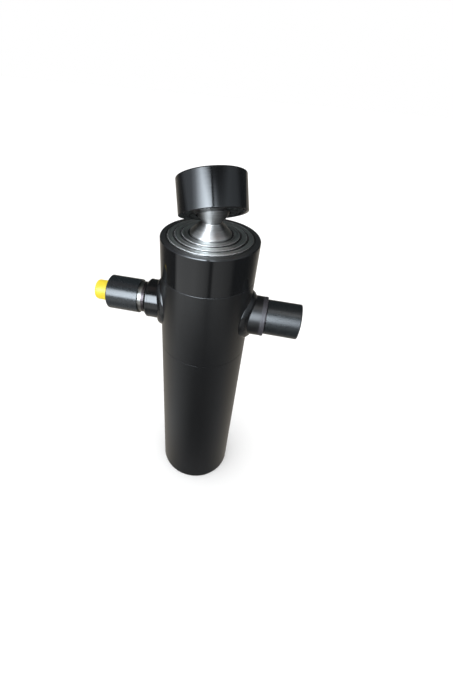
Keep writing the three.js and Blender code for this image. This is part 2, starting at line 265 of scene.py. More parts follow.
def finish_rim(piece, finish):
    """Gives the chamfer round the top of an upright piece its own finish."""
    piece.data.materials.append(finish)
    slot = len(piece.data.materials) - 1
    top = max(v.co.z for v in piece.data.vertices)
    for polygon in piece.data.polygons:
        tilted = RIM_FACING < polygon.normal.z <= END_FACING
        if tilted and polygon.center.z > top - RIM_DEPTH:
            polygon.material_index = slot


def turned_piece(node, where, finish, size, sides=SIDES):
    """A CAD node turned again with rounded corners."""
    piece = turn(node + "_turned", rounded(section(node, where), size), where, sides)
    return stand_for(piece, node, finish)


# ---------- shader building ----------
class Finish:
    """A node material: `add` makes a node, and inputs are constants or other nodes' sockets."""

    def __init__(self, name, material=None, **constants):
        self.material = material or bpy.data.materials.new(name)
        self.material.use_nodes = True
        self.nodes = self.material.node_tree.nodes
        self.links = self.material.node_tree.links
        self.shader = self.nodes["Principled BSDF"]
        for socket, value in constants.items():
            self.feed(self.shader, socket.replace("_", " "), value)
        self.object = self.add("ShaderNodeTexCoord").outputs["Object"]

    def feed(self, node, socket, value):
        if isinstance(value, bpy.types.NodeSocket):
            self.links.new(value, node.inputs[socket])
        else:
            node.inputs[socket].default_value = value

    def add(self, kind, inputs=None, **settings):
        node = self.nodes.new(kind)
        for key, value in settings.items():
            setattr(node, key, value)
        for socket, value in (inputs or {}).items():
            self.feed(node, socket, value)
        return node

    def math(self, operation, a, b=0.0):
        return self.add("ShaderNodeMath", {0: a, 1: b}, operation=operation).outputs[0]

    def noise(self, scale, detail=2.0, rough=0.5, vector=None):
        inputs = {"Vector": vector or self.object, "Scale": scale, "Detail": detail,
                  "Roughness": rough}
        return self.add("ShaderNodeTexNoise", inputs).outputs[0]

    def span(self, value, low, high, from_low=0.0, from_high=1.0):
        """Maps a value from one range to another, clamped."""
        inputs = {0: value, 1: from_low, 2: from_high, 3: low, 4: high}
        return self.add("ShaderNodeMapRange", inputs).outputs[0]

    def mix(self, factor, a, b):
        node = self.add("ShaderNodeMix", data_type="RGBA")
        self.feed(node, 0, factor)
        self.feed(node, 6, a)
        self.feed(node, 7, b)
        return node.outputs[2]

    def bump(self, height, strength, distance, below=None):
        inputs = {"Height": height, "Strength": strength, "Distance": distance}
        node = self.add("ShaderNodeBump", inputs)
        if below is not None:
            self.feed(node, "Normal", below)
        return node.outputs[0]

    def turning(self, spacing, detail=3.0, rough=0.7):
        """Fine lathe lines round the piece, from its UV map, with the given spacing in metres."""
        around = self.add("ShaderNodeUVMap", uv_map=AROUND).outputs[0]
        parts = self.add("ShaderNodeSeparateXYZ", {0: around})
        angle = self.math("MULTIPLY", parts.outputs[0], 2 * math.pi)
        across = self.add("ShaderNodeCombineXYZ", {
            0: self.math("COSINE", angle), 1: self.math("SINE", angle),
            2: self.math("DIVIDE", parts.outputs[1], spacing),
        }).outputs[0]
        return self.noise(1.0, detail, rough, across)

    def tangent(self):
        """The direction round the piece, along its lathe lines."""
        return self.add("ShaderNodeTangent", direction_type="UV_MAP", uv_map=AROUND).outputs[0]


def rgb(r, g, b):
    return (r, g, b, 1.0)


# ---------- materials ----------
MIDDLE = (0.3, 0.7)              # where most of a noise lies, so that it fills the range it maps to
ACROSS = 0.25                    # turns the steel's highlights across its lathe lines
CUT_DEPTH = 0.05 * MM            # of lathe lines and of fine grain
REFLECTION_BAND_FROM = (79.6 * MM, 80.6 * MM)     # from the barrel's axis: where the duller band with its painted reflection sets in
HEAT_TINT_AND_SHADE_TO = (91.2 * MM, 92.8 * MM)       # from the barrel's axis: where the heat tint and the painted shade beside the collar end


def black_paint(name, gloss, lines=0.0):
    """Thick black enamel with orange peel, faint streaks and dust. gloss is the mean roughness.

    lines is how strongly the lathe lines of the steel underneath show through.
    """
    f = Finish(name, IOR=1.5)
    cloud = f.noise(14.0, 4.0)
    fine = f.noise(420.0, 2.0)
    dust = f.span(f.noise(1500.0, 2.0, 0.7), 0.0, 1.0, 0.66, 0.78)
    settled = f.math("MULTIPLY", dust, f.span(cloud, 0.0, 0.5, 0.4, 0.7))
    base = f.mix(cloud, rgb(0.0042, 0.0047, 0.0054), rgb(0.0062, 0.0064, 0.0068))
    f.feed(f.shader, "Base Color", f.mix(settled, base, rgb(0.045, 0.042, 0.038)))
    streak = f.noise(60.0, 3.0, 0.6, f.add("ShaderNodeMapping", {
        "Vector": f.object, "Scale": (1.0, 1.0, 0.12)}).outputs[0])
    rough = f.math("ADD", f.span(streak, gloss - 0.005, gloss + 0.008, *MIDDLE),
                   f.math("MULTIPLY", settled, 0.2))
    f.feed(f.shader, "Roughness", rough)
    below = f.bump(f.turning(1.6 * MM), lines, CUT_DEPTH) if lines else None
    peel = f.bump(f.noise(260.0, 1.0), 0.03, 0.3 * MM, below)
    f.feed(f.shader, "Normal", f.bump(fine, 0.015, 0.15 * MM, peel))
    return f.material


def band_paint_with_painted_reflection(name, gloss):
    """The right collar's paint, duller in a band next to the sleeve, and lighter grey there as a
    painted reflection.
    """
    material = black_paint(name, gloss)
    f = Finish(name, material)
    reach = f.math("ABSOLUTE", f.add("ShaderNodeSeparateXYZ", {0: f.object}).outputs[0])
    uneven = f.math("MULTIPLY", f.noise(160.0, 3.0), 1.2 * MM)
    band = f.span(f.math("ADD", reach, uneven), 0.0, 1.0, *REFLECTION_BAND_FROM)
    colour, rough = (f.shader.inputs[name].links[0].from_socket
                     for name in ("Base Color", "Roughness"))
    # Painted reflection: the band's lighter grey stands in for light off the collar's outer edge;
    # the higher roughness is duller paint.
    f.feed(f.shader, "Base Color", f.mix(band, colour, rgb(0.030, 0.027, 0.033)))
    kept = f.math("MULTIPLY", rough, f.math("SUBTRACT", 1.0, band))
    f.feed(f.shader, "Roughness", f.math("ADD", kept, f.math("MULTIPLY", band, 0.48)))
    return material


def turned_paint():
    """The barrel's end face: thin paint over coarse lathe lines, which spread its highlight."""
    f = Finish("paint_end_face", IOR=2.0, Anisotropic=0.9, Anisotropic_Rotation=ACROSS)
    lines = f.turning(1.5 * MM)
    f.feed(f.shader, "Base Color",
           f.mix(lines, rgb(0.006, 0.0065, 0.007), rgb(0.014, 0.0145, 0.016)))
    f.feed(f.shader, "Roughness", f.span(lines, 0.36, 0.52, *MIDDLE))
    f.feed(f.shader, "Normal", f.bump(lines, 0.5, CUT_DEPTH))
    f.feed(f.shader, "Tangent", f.tangent())
    return f.material


def turned_steel(name, bright, rough, spacing, depth, tint=(1.0, 0.985, 0.96), film=0.0,
                 brushed=0.9, shade=0.62):
    """Bare steel with lathe lines, which are spacing metres apart and depth strong.

    film is how much oily brown lies on it, brushed how far the lines stretch its highlights, and
    shade how bright the bottoms of the lines are, as a share of bright.
    """
    f = Finish(name, Metallic=1.0, Anisotropic=brushed, Anisotropic_Rotation=ACROSS)
    lines = f.turning(spacing)
    patch = f.noise(45.0, 4.0, 0.6)
    clean = rgb(*(bright * t for t in tint))
    dull = rgb(*(shade * bright * t for t in tint))
    metal = f.mix(f.span(lines, 0.0, 1.0, *MIDDLE), dull, clean)
    stain = f.math("MULTIPLY", f.span(patch, 0.0, 1.0, 0.45, 0.75), film)
    f.feed(f.shader, "Base Color", f.mix(stain, metal, rgb(0.23, 0.15, 0.11)))
    f.feed(f.shader, "Roughness", f.math("ADD", f.span(lines, rough - 0.05, rough + 0.07, *MIDDLE),
                                         f.math("MULTIPLY", stain, 0.2)))
    f.feed(f.shader, "Normal", f.bump(lines, depth, CUT_DEPTH))
    f.feed(f.shader, "Tangent", f.tangent())
    return f.material


def heat_tint_and_shade_steel():
    """The trunnion pins: turned steel, darkened next to the collar by the weld's heat tint,
    deepened as painted shade in the gap beside the sleeve.
    """
    f = Finish("steel_pin", Metallic=1.0, Anisotropic=0.8, Anisotropic_Rotation=ACROSS)
    lines = f.turning(1.2 * MM)
    reach = f.math("ABSOLUTE", f.add("ShaderNodeSeparateXYZ", {0: f.object}).outputs[0])
    uneven = f.math("MULTIPLY", f.noise(90.0, 3.0), 3.0 * MM)
    tint_and_shade = f.span(f.math("ADD", reach, uneven), 1.0, 0.0, *HEAT_TINT_AND_SHADE_TO)
    clean = f.mix(f.span(lines, 0.0, 1.0, *MIDDLE),
                  rgb(0.20, 0.198, 0.185), rgb(0.36, 0.355, 0.335))
    # Painted shade: the dark band next to the collar is part heat tint, part shade for the gap
    # between collar and sleeve.
    f.feed(f.shader, "Base Color", f.mix(tint_and_shade, clean, rgb(0.10, 0.085, 0.09)))
    f.feed(f.shader, "Roughness", f.math("ADD", f.span(lines, 0.34, 0.46, *MIDDLE),
                                         f.math("MULTIPLY", tint_and_shade, 0.1)))
    f.feed(f.shader, "Normal", f.bump(lines, 0.3, CUT_DEPTH))
    f.feed(f.shader, "Tangent", f.tangent())
    return f.material


def bronze():
    f = Finish("bearing_bronze", Metallic=1.0, Anisotropic=0.5)
    lines = f.turning(0.5 * MM)
    patch = f.noise(60.0, 3.0)
    f.feed(f.shader, "Base Color", f.mix(patch, rgb(0.46, 0.29, 0.12), rgb(0.62, 0.42, 0.2)))
    f.feed(f.shader, "Roughness", f.span(lines, 0.26, 0.42, *MIDDLE))
    f.feed(f.shader, "Normal", f.bump(lines, 0.1, 0.03 * MM))
    return f.material


def black_rubber():
    f = Finish("wiper_rubber")
    grain = f.noise(900.0, 2.0)
    wet = f.noise(80.0, 3.0)
    f.feed(f.shader, "Base Color", f.mix(wet, rgb(0.006, 0.0065, 0.007), rgb(0.012, 0.013, 0.013)))
    f.feed(f.shader, "Roughness", f.span(wet, 0.3, 0.55, 0.35, 0.65))
    f.feed(f.shader, "Normal", f.bump(grain, 0.15, CUT_DEPTH))
    return f.material


def green_seal():
    f = Finish("seal_polyurethane", Subsurface_Weight=0.05)
    grain = f.noise(500.0, 2.0)
    wet = f.noise(70.0, 3.0)
    f.feed(f.shader, "Base Color", f.mix(wet, rgb(0.02, 0.09, 0.055), rgb(0.04, 0.14, 0.09)))
    f.feed(f.shader, "Roughness", f.span(wet, 0.25, 0.4))
    f.feed(f.shader, "Normal", f.bump(grain, 0.05, CUT_DEPTH))
    return f.material


def black_plastic(name, gloss, dark):
    """Extruded tube: lines along its length, scuffs and a mottled skin.

    gloss is the mean roughness, and dark the red of its darkest spots, which are a little blue.
    """
    f = Finish(name, IOR=1.52)
    along = f.add("ShaderNodeMapping", {"Vector": f.object, "Scale": (1.0, 1.0, 0.03)}).outputs[0]
    draw = f.noise(700.0, 3.0, 0.6, along)
    mottle = f.noise(120.0, 4.0, 0.6)
    scuff = f.span(f.noise(90.0, 5.0, 0.75), 0.0, 1.0, 0.6, 0.72)
    base = f.mix(mottle, rgb(dark, dark * 1.3, dark * 1.5),
                 rgb(dark * 1.5, dark * 2.0, dark * 2.4))
    f.feed(f.shader, "Base Color",
           f.mix(f.math("MULTIPLY", scuff, 0.35), base, rgb(0.05, 0.052, 0.058)))
    f.feed(f.shader, "Roughness", f.math("ADD", f.span(draw, gloss - 0.06, gloss + 0.06, *MIDDLE),
                                         f.math("MULTIPLY", scuff, 0.12)))
    f.feed(f.shader, "Normal", f.bump(draw, 0.10, CUT_DEPTH, f.bump(mottle, 0.05, 0.2 * MM)))
    return f.material


def yellow_plastic():
    f = Finish("cap_plastic", Roughness=0.4)
    mottle = f.noise(70.0, 4.0, 0.6)
    # random darker orange patches over the yellow
    orange_patches = f.span(f.noise(220.0, 5.0, 0.75), 0.0, 0.35, 0.56, 0.72)
    base = f.mix(mottle, rgb(0.74, 0.55, 0.006), rgb(0.84, 0.68, 0.012))
    f.feed(f.shader, "Base Color", f.mix(orange_patches, base, rgb(0.60, 0.26, 0.006)))
    f.feed(f.shader, "Roughness", f.span(mottle, 0.32, 0.5, *MIDDLE))
    f.feed(f.shader, "Normal", f.bump(f.noise(600.0, 2.0), 0.08, 0.08 * MM))
    f.shader.inputs["Subsurface Weight"].default_value = 0.25
    f.shader.inputs["Subsurface Radius"].default_value = (1.0, 0.6, 0.1)
    f.shader.inputs["Subsurface Scale"].default_value = 1.5 * MM
    return f.material


HEAD_PAINT = black_paint("paint_head", 0.09)
FACE_PAINT = turned_paint()
BODY_PAINT = black_paint("paint_body", 0.28)
GLOSSY_COLLAR_PAINT = black_paint("paint_left_collar", 0.12)
WELD_PAINT = black_paint("paint_weld", 0.10)
COLLAR_PAINT = band_paint_with_painted_reflection("paint_right_collar", 0.33)
CAP_PAINT = black_paint("paint_cap", 0.10, 0.35)
FACE_STEEL = turned_steel("steel_turned_face", 0.98, 0.37, 2.6 * MM, 0.4, (0.97, 1.0, 0.98),
                          shade=0.4)
ROD_STEEL = turned_steel("steel_ground", 0.66, 0.2, 0.8 * MM, 0.12)
# Painted shade: the ball's steel is darker than the cone's, for the shade under the cap.
SHADED_BALL_STEEL = turned_steel("steel_ball_painted_shade", 0.26, 0.42, 1.3 * MM, 0.3)
CONE_STEEL = turned_steel("steel_cone", 0.72, 0.36, 1.5 * MM, 0.12, film=0.5)
RIM_STEEL = turned_steel("steel_rim", 0.42, 0.46, 1.0 * MM, 0.1, brushed=0.0)
RING_STEEL = turned_steel("steel_ring", 0.42, 0.34, 1.2 * MM, 0.3, film=0.5)
PIN_STEEL = heat_tint_and_shade_steel()
BRONZE = bronze()
RUBBER = black_rubber()
SEAL = green_seal()
GLOSSY_SLEEVE = black_plastic("sleeve_glossy", 0.24, 0.008)
DULL_SLEEVE = black_plastic("sleeve_dull", 0.31, 0.0055)
YELLOW = yellow_plastic()


# ---------- barrel ----------
EDGE = 0.6 * MM                  # how far the curve at a corner reaches on most pieces
BARREL_EDGE = 0.12 * MM
HEAD_EDGE = 0.25 * MM
UPPER_SEAM = (0.25 * MM, 0.38 * MM)      # chamfer of the trunnion section, across and down
LOWER_SEAM = 0.16 * MM           # the same chamfer at its lower end, both ways
SEAM_EDGE = 0.1 * MM
COLLAR_RADIUS = 27.8 * MM
COLLAR_BORE_GAP = 0.3 * MM
COLLAR_EDGE = 0.5 * MM
COLLAR_RIM = 3.0 * MM            # how much of a collar's straight sides belongs to its rim
WELD_SIDES = 480
WELD_WIDTH = 7.5 * MM
WELD_HEIGHT = 7.0 * MM
WELD_SWELL = 0.25                # how far a weld's curve bulges out, as a share of its size
WELD_OVERLAP = 1.5 * MM          # how far a weld sinks into the barrel's wall
WELD_STEPS = 12
RIPPLE_PITCH = 2.4 * MM
RIPPLE_HEIGHT = 0.10 * MM
RIPPLE_OUT = Vector((0.7, 0.7))  # the way the ripples rise, out from the weld's curve
RIPPLED = 1 / 1.15               # the share of a weld's curve that has ripples
RIPPLE_LAG = 0.5                 # how much each ripple curves back at its ends, in ripples
WOBBLE = 2.5                     # how uneven the ripples are
WOBBLE_DENSITY = 6


def bezier(p0, p1, p2, p3, t):
    """The point at share t of a cubic curve."""
    a, b, c = p0.lerp(p1, t), p1.lerp(p2, t), p2.lerp(p3, t)
    return a.lerp(b, t).lerp(b.lerp(c, t), t)


def barrel_surface(radius, angle):
    """How far out the barrel's surface lies, at this radius and angle round the trunnion axis."""
    return math.sqrt(BARREL_RADIUS ** 2 - (radius * math.sin(angle)) ** 2)


def weld_section(angle, bulge):
    """The curve from a collar's side down to the barrel's surface, with the bead's ripples."""
    outer = COLLAR_RADIUS + WELD_WIDTH
    top = Vector((COLLAR_RADIUS, barrel_surface(COLLAR_RADIUS, angle) + WELD_HEIGHT))
    foot = Vector((outer, barrel_surface(outer, angle)))
    middle = (top + foot) / 2
    swelling = Vector((WELD_HEIGHT, WELD_WIDTH)) * WELD_SWELL * bulge
    shoulder = top.lerp(middle, 0.5) + swelling
    cheek = foot.lerp(middle, 0.5) + swelling
    points = []
    for step in range(1, WELD_STEPS + 1):
        t = step / WELD_STEPS
        bead = math.sin(math.pi * min(1.0, t / RIPPLED))
        phase = angle * COLLAR_RADIUS / RIPPLE_PITCH + RIPPLE_LAG * (t - 0.5) ** 2
        wobble = noise.noise(Vector((math.cos(angle), math.sin(angle), t)) * WOBBLE_DENSITY)
        ripple = RIPPLE_HEIGHT * bead * (math.sin(2 * math.pi * phase) + WOBBLE * wobble)
        points.append(bezier(top, shoulder, cheek, foot, t) + RIPPLE_OUT * ripple)
    return [top] + points


def collar_piece(node, where, chamfer, bulge, finish):
    """A painted collar on the barrel's side and the weld round its foot.

    bulge is how far the weld swells out: at the top and bottom, and at the sides.
    """
    bore = PIN_RADIUS + COLLAR_BORE_GAP
    box_low, box_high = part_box(node)
    face = max(abs(box_low.x), abs(box_high.x))
    rim = rounded([(bore, face - COLLAR_RIM), (bore, face), (COLLAR_RADIUS - chamfer, face),
                   (COLLAR_RADIUS, face - chamfer), (COLLAR_RADIUS, face - chamfer - COLLAR_RIM)],
                  COLLAR_EDGE)[2:-2]
    outlines = []
    for angle in circle_angles(WELD_SIDES):
        weld = weld_section(angle, bulge[0] + (bulge[1] - bulge[0]) * abs(math.sin(angle)))
        seat = barrel_surface(bore, angle) - WELD_OVERLAP
        tuck = (weld[-1].x, weld[-1].y - WELD_OVERLAP)
        outline = [(bore, seat), (bore, face - COLLAR_RIM), *rim, *weld, tuck]
        outlines.append([(r * math.cos(angle), r * math.sin(angle), h)
                         for r, h in reversed(outline)])
    rings = list(zip(*outlines))
    piece = stand_for(sweep(node + "_welded", rings, True, where), node, finish)
    piece.data.materials.append(WELD_PAINT)
    edge_of_weld = BARREL_RADIUS + WELD_HEIGHT
    for polygon in piece.data.polygons:
        if abs(polygon.center.x) < edge_of_weld:
            polygon.material_index = 1


def trunnion_shell():
    """The barrel's middle, between its two seams."""
    box_low, box_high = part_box("trunnion_section")
    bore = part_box("barrel_guide_bush")[1].x
    across, down = UPPER_SEAM
    outline = [
        (bore, box_low.z), (BARREL_RADIUS - LOWER_SEAM, box_low.z),
        (BARREL_RADIUS, box_low.z + LOWER_SEAM), (BARREL_RADIUS, box_high.z - down),
        (BARREL_RADIUS - across, box_high.z), (bore, box_high.z),
    ]
    shape = rounded(outline, SEAM_EDGE)
    piece = turn("trunnion_section_turned", shape, UPRIGHT, WIDE_SIDES)
    stand_for(piece, "trunnion_section", BODY_PAINT)


def build_barrel():
    turned_piece("barrel_tube", UPRIGHT, BODY_PAINT, BARREL_EDGE, WIDE_SIDES)
    head = turned_piece("head_collar", UPRIGHT, HEAD_PAINT, HEAD_EDGE, WIDE_SIDES)
    finish_end_face(head, FACE_PAINT)
    turned_piece("base_plug", UPRIGHT, BODY_PAINT, EDGE, WIDE_SIDES)
    trunnion_shell()
    collar_piece("left_collar", OUT_LEFT, 3.5 * MM, (0.9, 1.0), GLOSSY_COLLAR_PAINT)
    collar_piece("right_collar", OUT_RIGHT, 0.8 * MM, (0.1, 0.85), COLLAR_PAINT)


# ---------- trunnions, sleeves and port ----------
SLEEVE_EDGE = 0.8 * MM
UNEVEN_CUT = 0.35 * MM           # how far a sleeve's hand-cut ends wander
CUT_WAVES = 1.3                  # the more, the oftener they wander on the way round
CUT_ENDS = (3.7, 9.1)            # where in the noise the two ends' wanderings are
NICK_SIZE = 4.5 * MM
NICK_DEPTH = 2.0 * MM
NICK_INWARD = 0.5                # how far the knock pushes in, as a share of how far it pushes back
NICK_ANGLE = math.radians(158)   # from the top, towards the front
NIPPLE_EDGE = 0.3 * MM
NIPPLE_SIDES = 96
THREAD_PITCH = 1.814 * MM        # the port nipple's G 3/4 thread
THREAD_DEPTH = 1.1 * MM
THREAD_LEVELS = 130
CAP_DRAFT = 0.4 * MM             # how much the port cap narrows to its closed end
CAP_STEPS = 8                    # facets in each of its rounded corners
GATE_RADIUS = 5.0 * MM           # shallow moulded dimple in the port cap's end
GATE_DEPTH = 0.6 * MM


def reshape(piece, where, change):
    """Moves a piece's points, in the place's own axes.

    change is called with each point, its angle, and its share of the way along the axis.
    """
    inverse = where.inverted()
    points = [inverse @ v.co for v in piece.data.vertices]
    low, high = min(p.z for p in points), max(p.z for p in points)
    for vertex, p in zip(piece.data.vertices, points):
        change(p, math.atan2(p.y, p.x), (p.z - low) / (high - low))
        vertex.co = where @ p


def build_sleeve(node, where, finish):
    """A plastic sleeve with softened edges and slightly wandering ends."""
    piece = turned_piece(node, where, finish, SLEEVE_EDGE)

    def cut_unevenly(p, angle, share):
        around = Vector((math.cos(angle), math.sin(angle), 0.0)) * CUT_WAVES
        pull = [UNEVEN_CUT * (0.5 + noise.noise(around + Vector((0, 0, end)))) for end in CUT_ENDS]
        p.z += max(0.0, pull[0]) * (1 - share) - max(0.0, pull[1]) * share

    reshape(piece, where, cut_unevenly)
    return piece


def nick_end(piece, where):
    """A small knock in a sleeve's outer edge."""
    inverse = where.inverted()
    outer = max((inverse @ v.co).z for v in piece.data.vertices)

    def knock(p, angle, share):
        radius = math.hypot(p.x, p.y)
        away = math.hypot(radius * (angle - NICK_ANGLE), p.z - outer)
        if away < NICK_SIZE:
            depth = NICK_DEPTH * (1 - (away / NICK_SIZE) ** 2)
            p.z -= depth
            p.x *= 1 - NICK_INWARD * depth / radius
            p.y *= 1 - NICK_INWARD * depth / radius

    reshape(piece, where, knock)


def build_nipple():
    """The oil port's nipple, with a real helical thread on its nose."""
    shape = rounded(section("port_nipple", OUT_LEFT), NIPPLE_EDGE)
    radius = max(r for r, _ in shape)
    threaded = [i for i, (r, _) in enumerate(shape) if r > radius - SAME_POINT]
    first, last = threaded[0], threaded[-1]
    foot, nose = shape[first][1], shape[last][1]
    shape[first + 1:last] = [(radius, foot + (nose - foot) * i / THREAD_LEVELS)
                             for i in range(1, THREAD_LEVELS)]

    def depth(r, h, angle):
        """How deep the thread cuts in here. It runs out at both ends."""
        if r < radius - SAME_POINT:
            return 0.0
        run_out = min(1.0, (h - foot) / THREAD_PITCH, (nose - h) / THREAD_PITCH)
        turned = 2 * math.pi * h / THREAD_PITCH - angle
        return THREAD_DEPTH * run_out * (0.5 - 0.5 * math.cos(turned))

    rings = []
    for r, h in shape:
        cut = [(a, r - depth(r, h, a)) for a in circle_angles(NIPPLE_SIDES)]
        rings.append([(s * math.cos(a), s * math.sin(a), h) for a, s in cut])
    piece = sweep("port_nipple_threaded", rings, is_closed(shape), OUT_LEFT)
    stand_for(piece, "port_nipple", RING_STEEL)


def build_port_cap():
    """A moulded cap with a slight draft, a rounded end and a shallow dimple."""
    outline = section("port_cap", OUT_LEFT)
    heights = sorted({round(h, 5) for _, h in outline})
    mouth, closed_end = heights[0], heights[-1]
    floor_height, bore = outline[0][1], outline[1][0]
    outer = max(r for r, _ in outline)
    corners = [                  # with how far the curve at each reaches
        ((0.0, floor_height), 0.0),
        ((bore, floor_height), 0.5 * MM),
        ((bore, mouth), 0.3 * MM),
        ((outer, mouth), 0.5 * MM),
        ((outer - CAP_DRAFT, closed_end), 3.4 * MM),
        ((GATE_RADIUS, closed_end), 0.4 * MM),
        ((GATE_RADIUS - GATE_DEPTH, closed_end - GATE_DEPTH), 0.4 * MM),
        ((0.0, closed_end - GATE_DEPTH), 0.0),
    ]
    shape = rounded(*map(list, zip(*corners)), CAP_STEPS)
    piece = turn("port_cap_moulded", shape, OUT_LEFT)
    stand_for(piece, "port_cap", YELLOW)


def build_trunnions():
    turned_piece("right_trunnion", OUT_RIGHT, PIN_STEEL, EDGE)
    turned_piece("left_trunnion", OUT_LEFT, PIN_STEEL, EDGE)
    build_sleeve("left_sleeve", OUT_LEFT, GLOSSY_SLEEVE)
    nick_end(build_sleeve("right_sleeve", OUT_RIGHT, DULL_SLEEVE), OUT_RIGHT)
    build_nipple()
    build_port_cap()


# ---------- stages ----------
TUBE_EDGE = 0.3 * MM
RING_EDGE = 0.4 * MM
NECK_FILLET = 1.6 * MM
NECK_SHARE = 0.87                # the cone's corners lie at least this far below the ball's centre,
                                 # as a share of its radius
NECK_BLEND = 5                   # degrees of the ball that the neck's fillet takes up
FILLET_STEPS = 10
BALL_STEPS = 40


def arc(radius, height, start, end, steps):
    """Points of a circle round (0, height), between two angles in degrees from the top."""
    angles = [math.radians(start + (end - start) * i / steps) for i in range(steps + 1)]
    return [(radius * math.sin(a), height + radius * math.cos(a)) for a in angles]


def build_ball_end():
    """The plunger's end: a short cylinder, a cone, a filleted neck and the ball."""
    ball_height = JOINTS["cap_swivel"]["pos_m"][2]
    ball_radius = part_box("ball_end")[1].z - ball_height
    outline = section("ball_end", UPRIGHT)
    corners = [p for p in outline if p[1] < ball_height - NECK_SHARE * ball_radius]
    neck_radius = corners[-1][0]
    neck_angle = 180 - math.degrees(math.asin(neck_radius / ball_radius))
    start = neck_angle - NECK_BLEND
    corners.append(arc(ball_radius, ball_height, start, start, 1)[0])
    sizes = [EDGE] * (len(corners) - 2) + [NECK_FILLET, EDGE]
    shape = rounded(corners, sizes, FILLET_STEPS)
    shape = shape[:-1] + arc(ball_radius, ball_height, start, 0, BALL_STEPS)
    shape[-1] = (0.0, shape[-1][1])
    # The ball takes the darker steel as painted shade under the cap; below the neck the cone takes
    # the brighter steel.
    piece = stand_for(turn("ball_end_turned", shape, UPRIGHT), "ball_end", SHADED_BALL_STEEL)
    piece.data.materials.append(CONE_STEEL)
    neck = corners[-2][1]
    for polygon in piece.data.polygons:
        if polygon.center.z < neck:
            polygon.material_index = 1


def build_stages():
    for tube in ("stage_1", "stage_2", "stage_3"):
        piece = turned_piece(tube + "_tube", UPRIGHT, ROD_STEEL, TUBE_EDGE)
        finish_end_face(piece, FACE_STEEL)
        finish_rim(piece, RIM_STEEL)
    turned_piece("plunger_tube", UPRIGHT, ROD_STEEL, EDGE)
    build_ball_end()
    for tube in ("barrel", "stage_1", "stage_2", "stage_3"):
        turned_piece(tube + "_wiper", UPRIGHT, RUBBER, RING_EDGE)
        turned_piece(tube + "_rod_seal", UPRIGHT, SEAL, RING_EDGE)
        turned_piece(tube + "_guide_bush", UPRIGHT, BRONZE, RING_EDGE)
    for tube in ("stage_1", "stage_2", "stage_3", "plunger"):
        turned_piece(tube + "_guide_ring", UPRIGHT, BRONZE, RING_EDGE)
        turned_piece(tube + "_stop_ring", UPRIGHT, RING_STEEL, RING_EDGE)


# ---------- ball cap ----------
CAP_INNER_EDGE = 0.3 * MM
CAP_EDGE = 0.7 * MM


def build_ball_cap():
    turned_piece("socket_liner", BALL_UPRIGHT, BRONZE, CAP_INNER_EDGE)
    # The retaining ring takes the cap's dark finish, which keeps it dark under the cap's mouth.
    turned_piece("retaining_ring", CAP, CAP_PAINT, CAP_INNER_EDGE)
    turned_piece("ball_cap", CAP, CAP_PAINT, CAP_EDGE)


# ---------- stage: floor, lights, world and camera ----------
CAMERA_AZIMUTH = 8.94            # degrees from -Y towards +X
CAMERA_ELEVATION = 40.48
CAMERA_ROLL = -4.295
CAMERA_PLACE = (0.0667, -0.4111, 0.6522)
CAMERA_LENS = 18.107             # millimetres, on a sensor 36 mm wide
CAMERA_SHIFT = (0.0316, -0.0120)
WARM = (1.0, 0.93, 0.82)
GREY = (0.97, 0.99, 1.0)
COOL = (0.82, 0.91, 1.0)
WHITE = (1.0, 1.0, 1.0)

# What glossy surfaces see on the floor near the object, further out and far out: degrees from the
# camera's side, how bright, and how tinted.
FLOOR_NEAR = [
    (-180, 0.5, WARM), (-70, 0.42, WARM), (-25, 0.18, GREY), (0, 0.13, GREY), (30, 0.15, GREY),
    (80, 0.38, WARM), (180, 0.5, WARM),
]
FLOOR_MIDDLE = [
    (-180, 0.5, WARM), (-110, 0.55, WARM), (-70, 0.5, GREY), (-45, 0.3, GREY), (-18, 0.05, GREY),
    (8, 0.04, GREY), (30, 0.12, GREY), (60, 0.26, GREY), (90, 0.4, WARM), (180, 0.5, WARM),
]
FLOOR_FAR = [
    (-180, 0.50, WARM), (-140, 0.40, WARM), (-118, 0.08, WARM), (-80, 0.03, GREY),
    (-72, 1.0, GREY), (-30, 1.1, GREY), (-8, 0.75, GREY), (1, 0.45, GREY), (4, 0.06, GREY),
    (8, 0.06, GREY), (12, 0.68, GREY), (30, 0.55, GREY), (50, 0.3, GREY), (60, 0.03, COOL),
    (95, 0.03, COOL), (116, 0.10, WARM), (140, 0.40, WARM), (180, 0.50, WARM),
]
NEAR_TO_MIDDLE = (0.08, 0.16)    # metres from the object's axis over which the pattern changes
MIDDLE_TO_FAR = (0.46, 0.72)
FLOOR_SIZE = 6.0                 # from the object to the floor's edges

# The windows that glossy surfaces see: the same three things.
WINDOWS = [
    (-180, 0.0, COOL), (-118, 0.3, COOL), (-90, 0.8, COOL), (-72, 1.2, COOL), (-60, 3.2, COOL),
    (-50, 8.0, COOL), (-38, 15.0, COOL), (-22, 21.0, COOL), (-9, 21.0, COOL), (-6, 15.0, COOL),
    (-4.2, 0.5, COOL), (0.6, 0.5, COOL), (4, 7.0, COOL), (10, 7.0, COOL), (15, 3.6, COOL),
    (22, 1.5, COOL), (34, 1.0, COOL), (60, 0.8, COOL), (90, 0.5, COOL), (110, 0.0, COOL),
    (180, 0.0, COOL),
]
WINDOW_DISTANCE = 2.5
WINDOW_CENTRE = Vector((0, 0, 0.42))
WINDOW_SPAN = (-118, 108)        # degrees from the camera's side
WINDOW_RISE = (-2, 46)           # degrees above the horizon
SOFT_EDGE = 9                    # degrees over which the windows fade at their foot and head
BRIGHTEST = 30.0                 # the ramp holds shares of this
WINDOW_STEPS = 24                # faces along each side of the windows
WALL_STEPS = 6

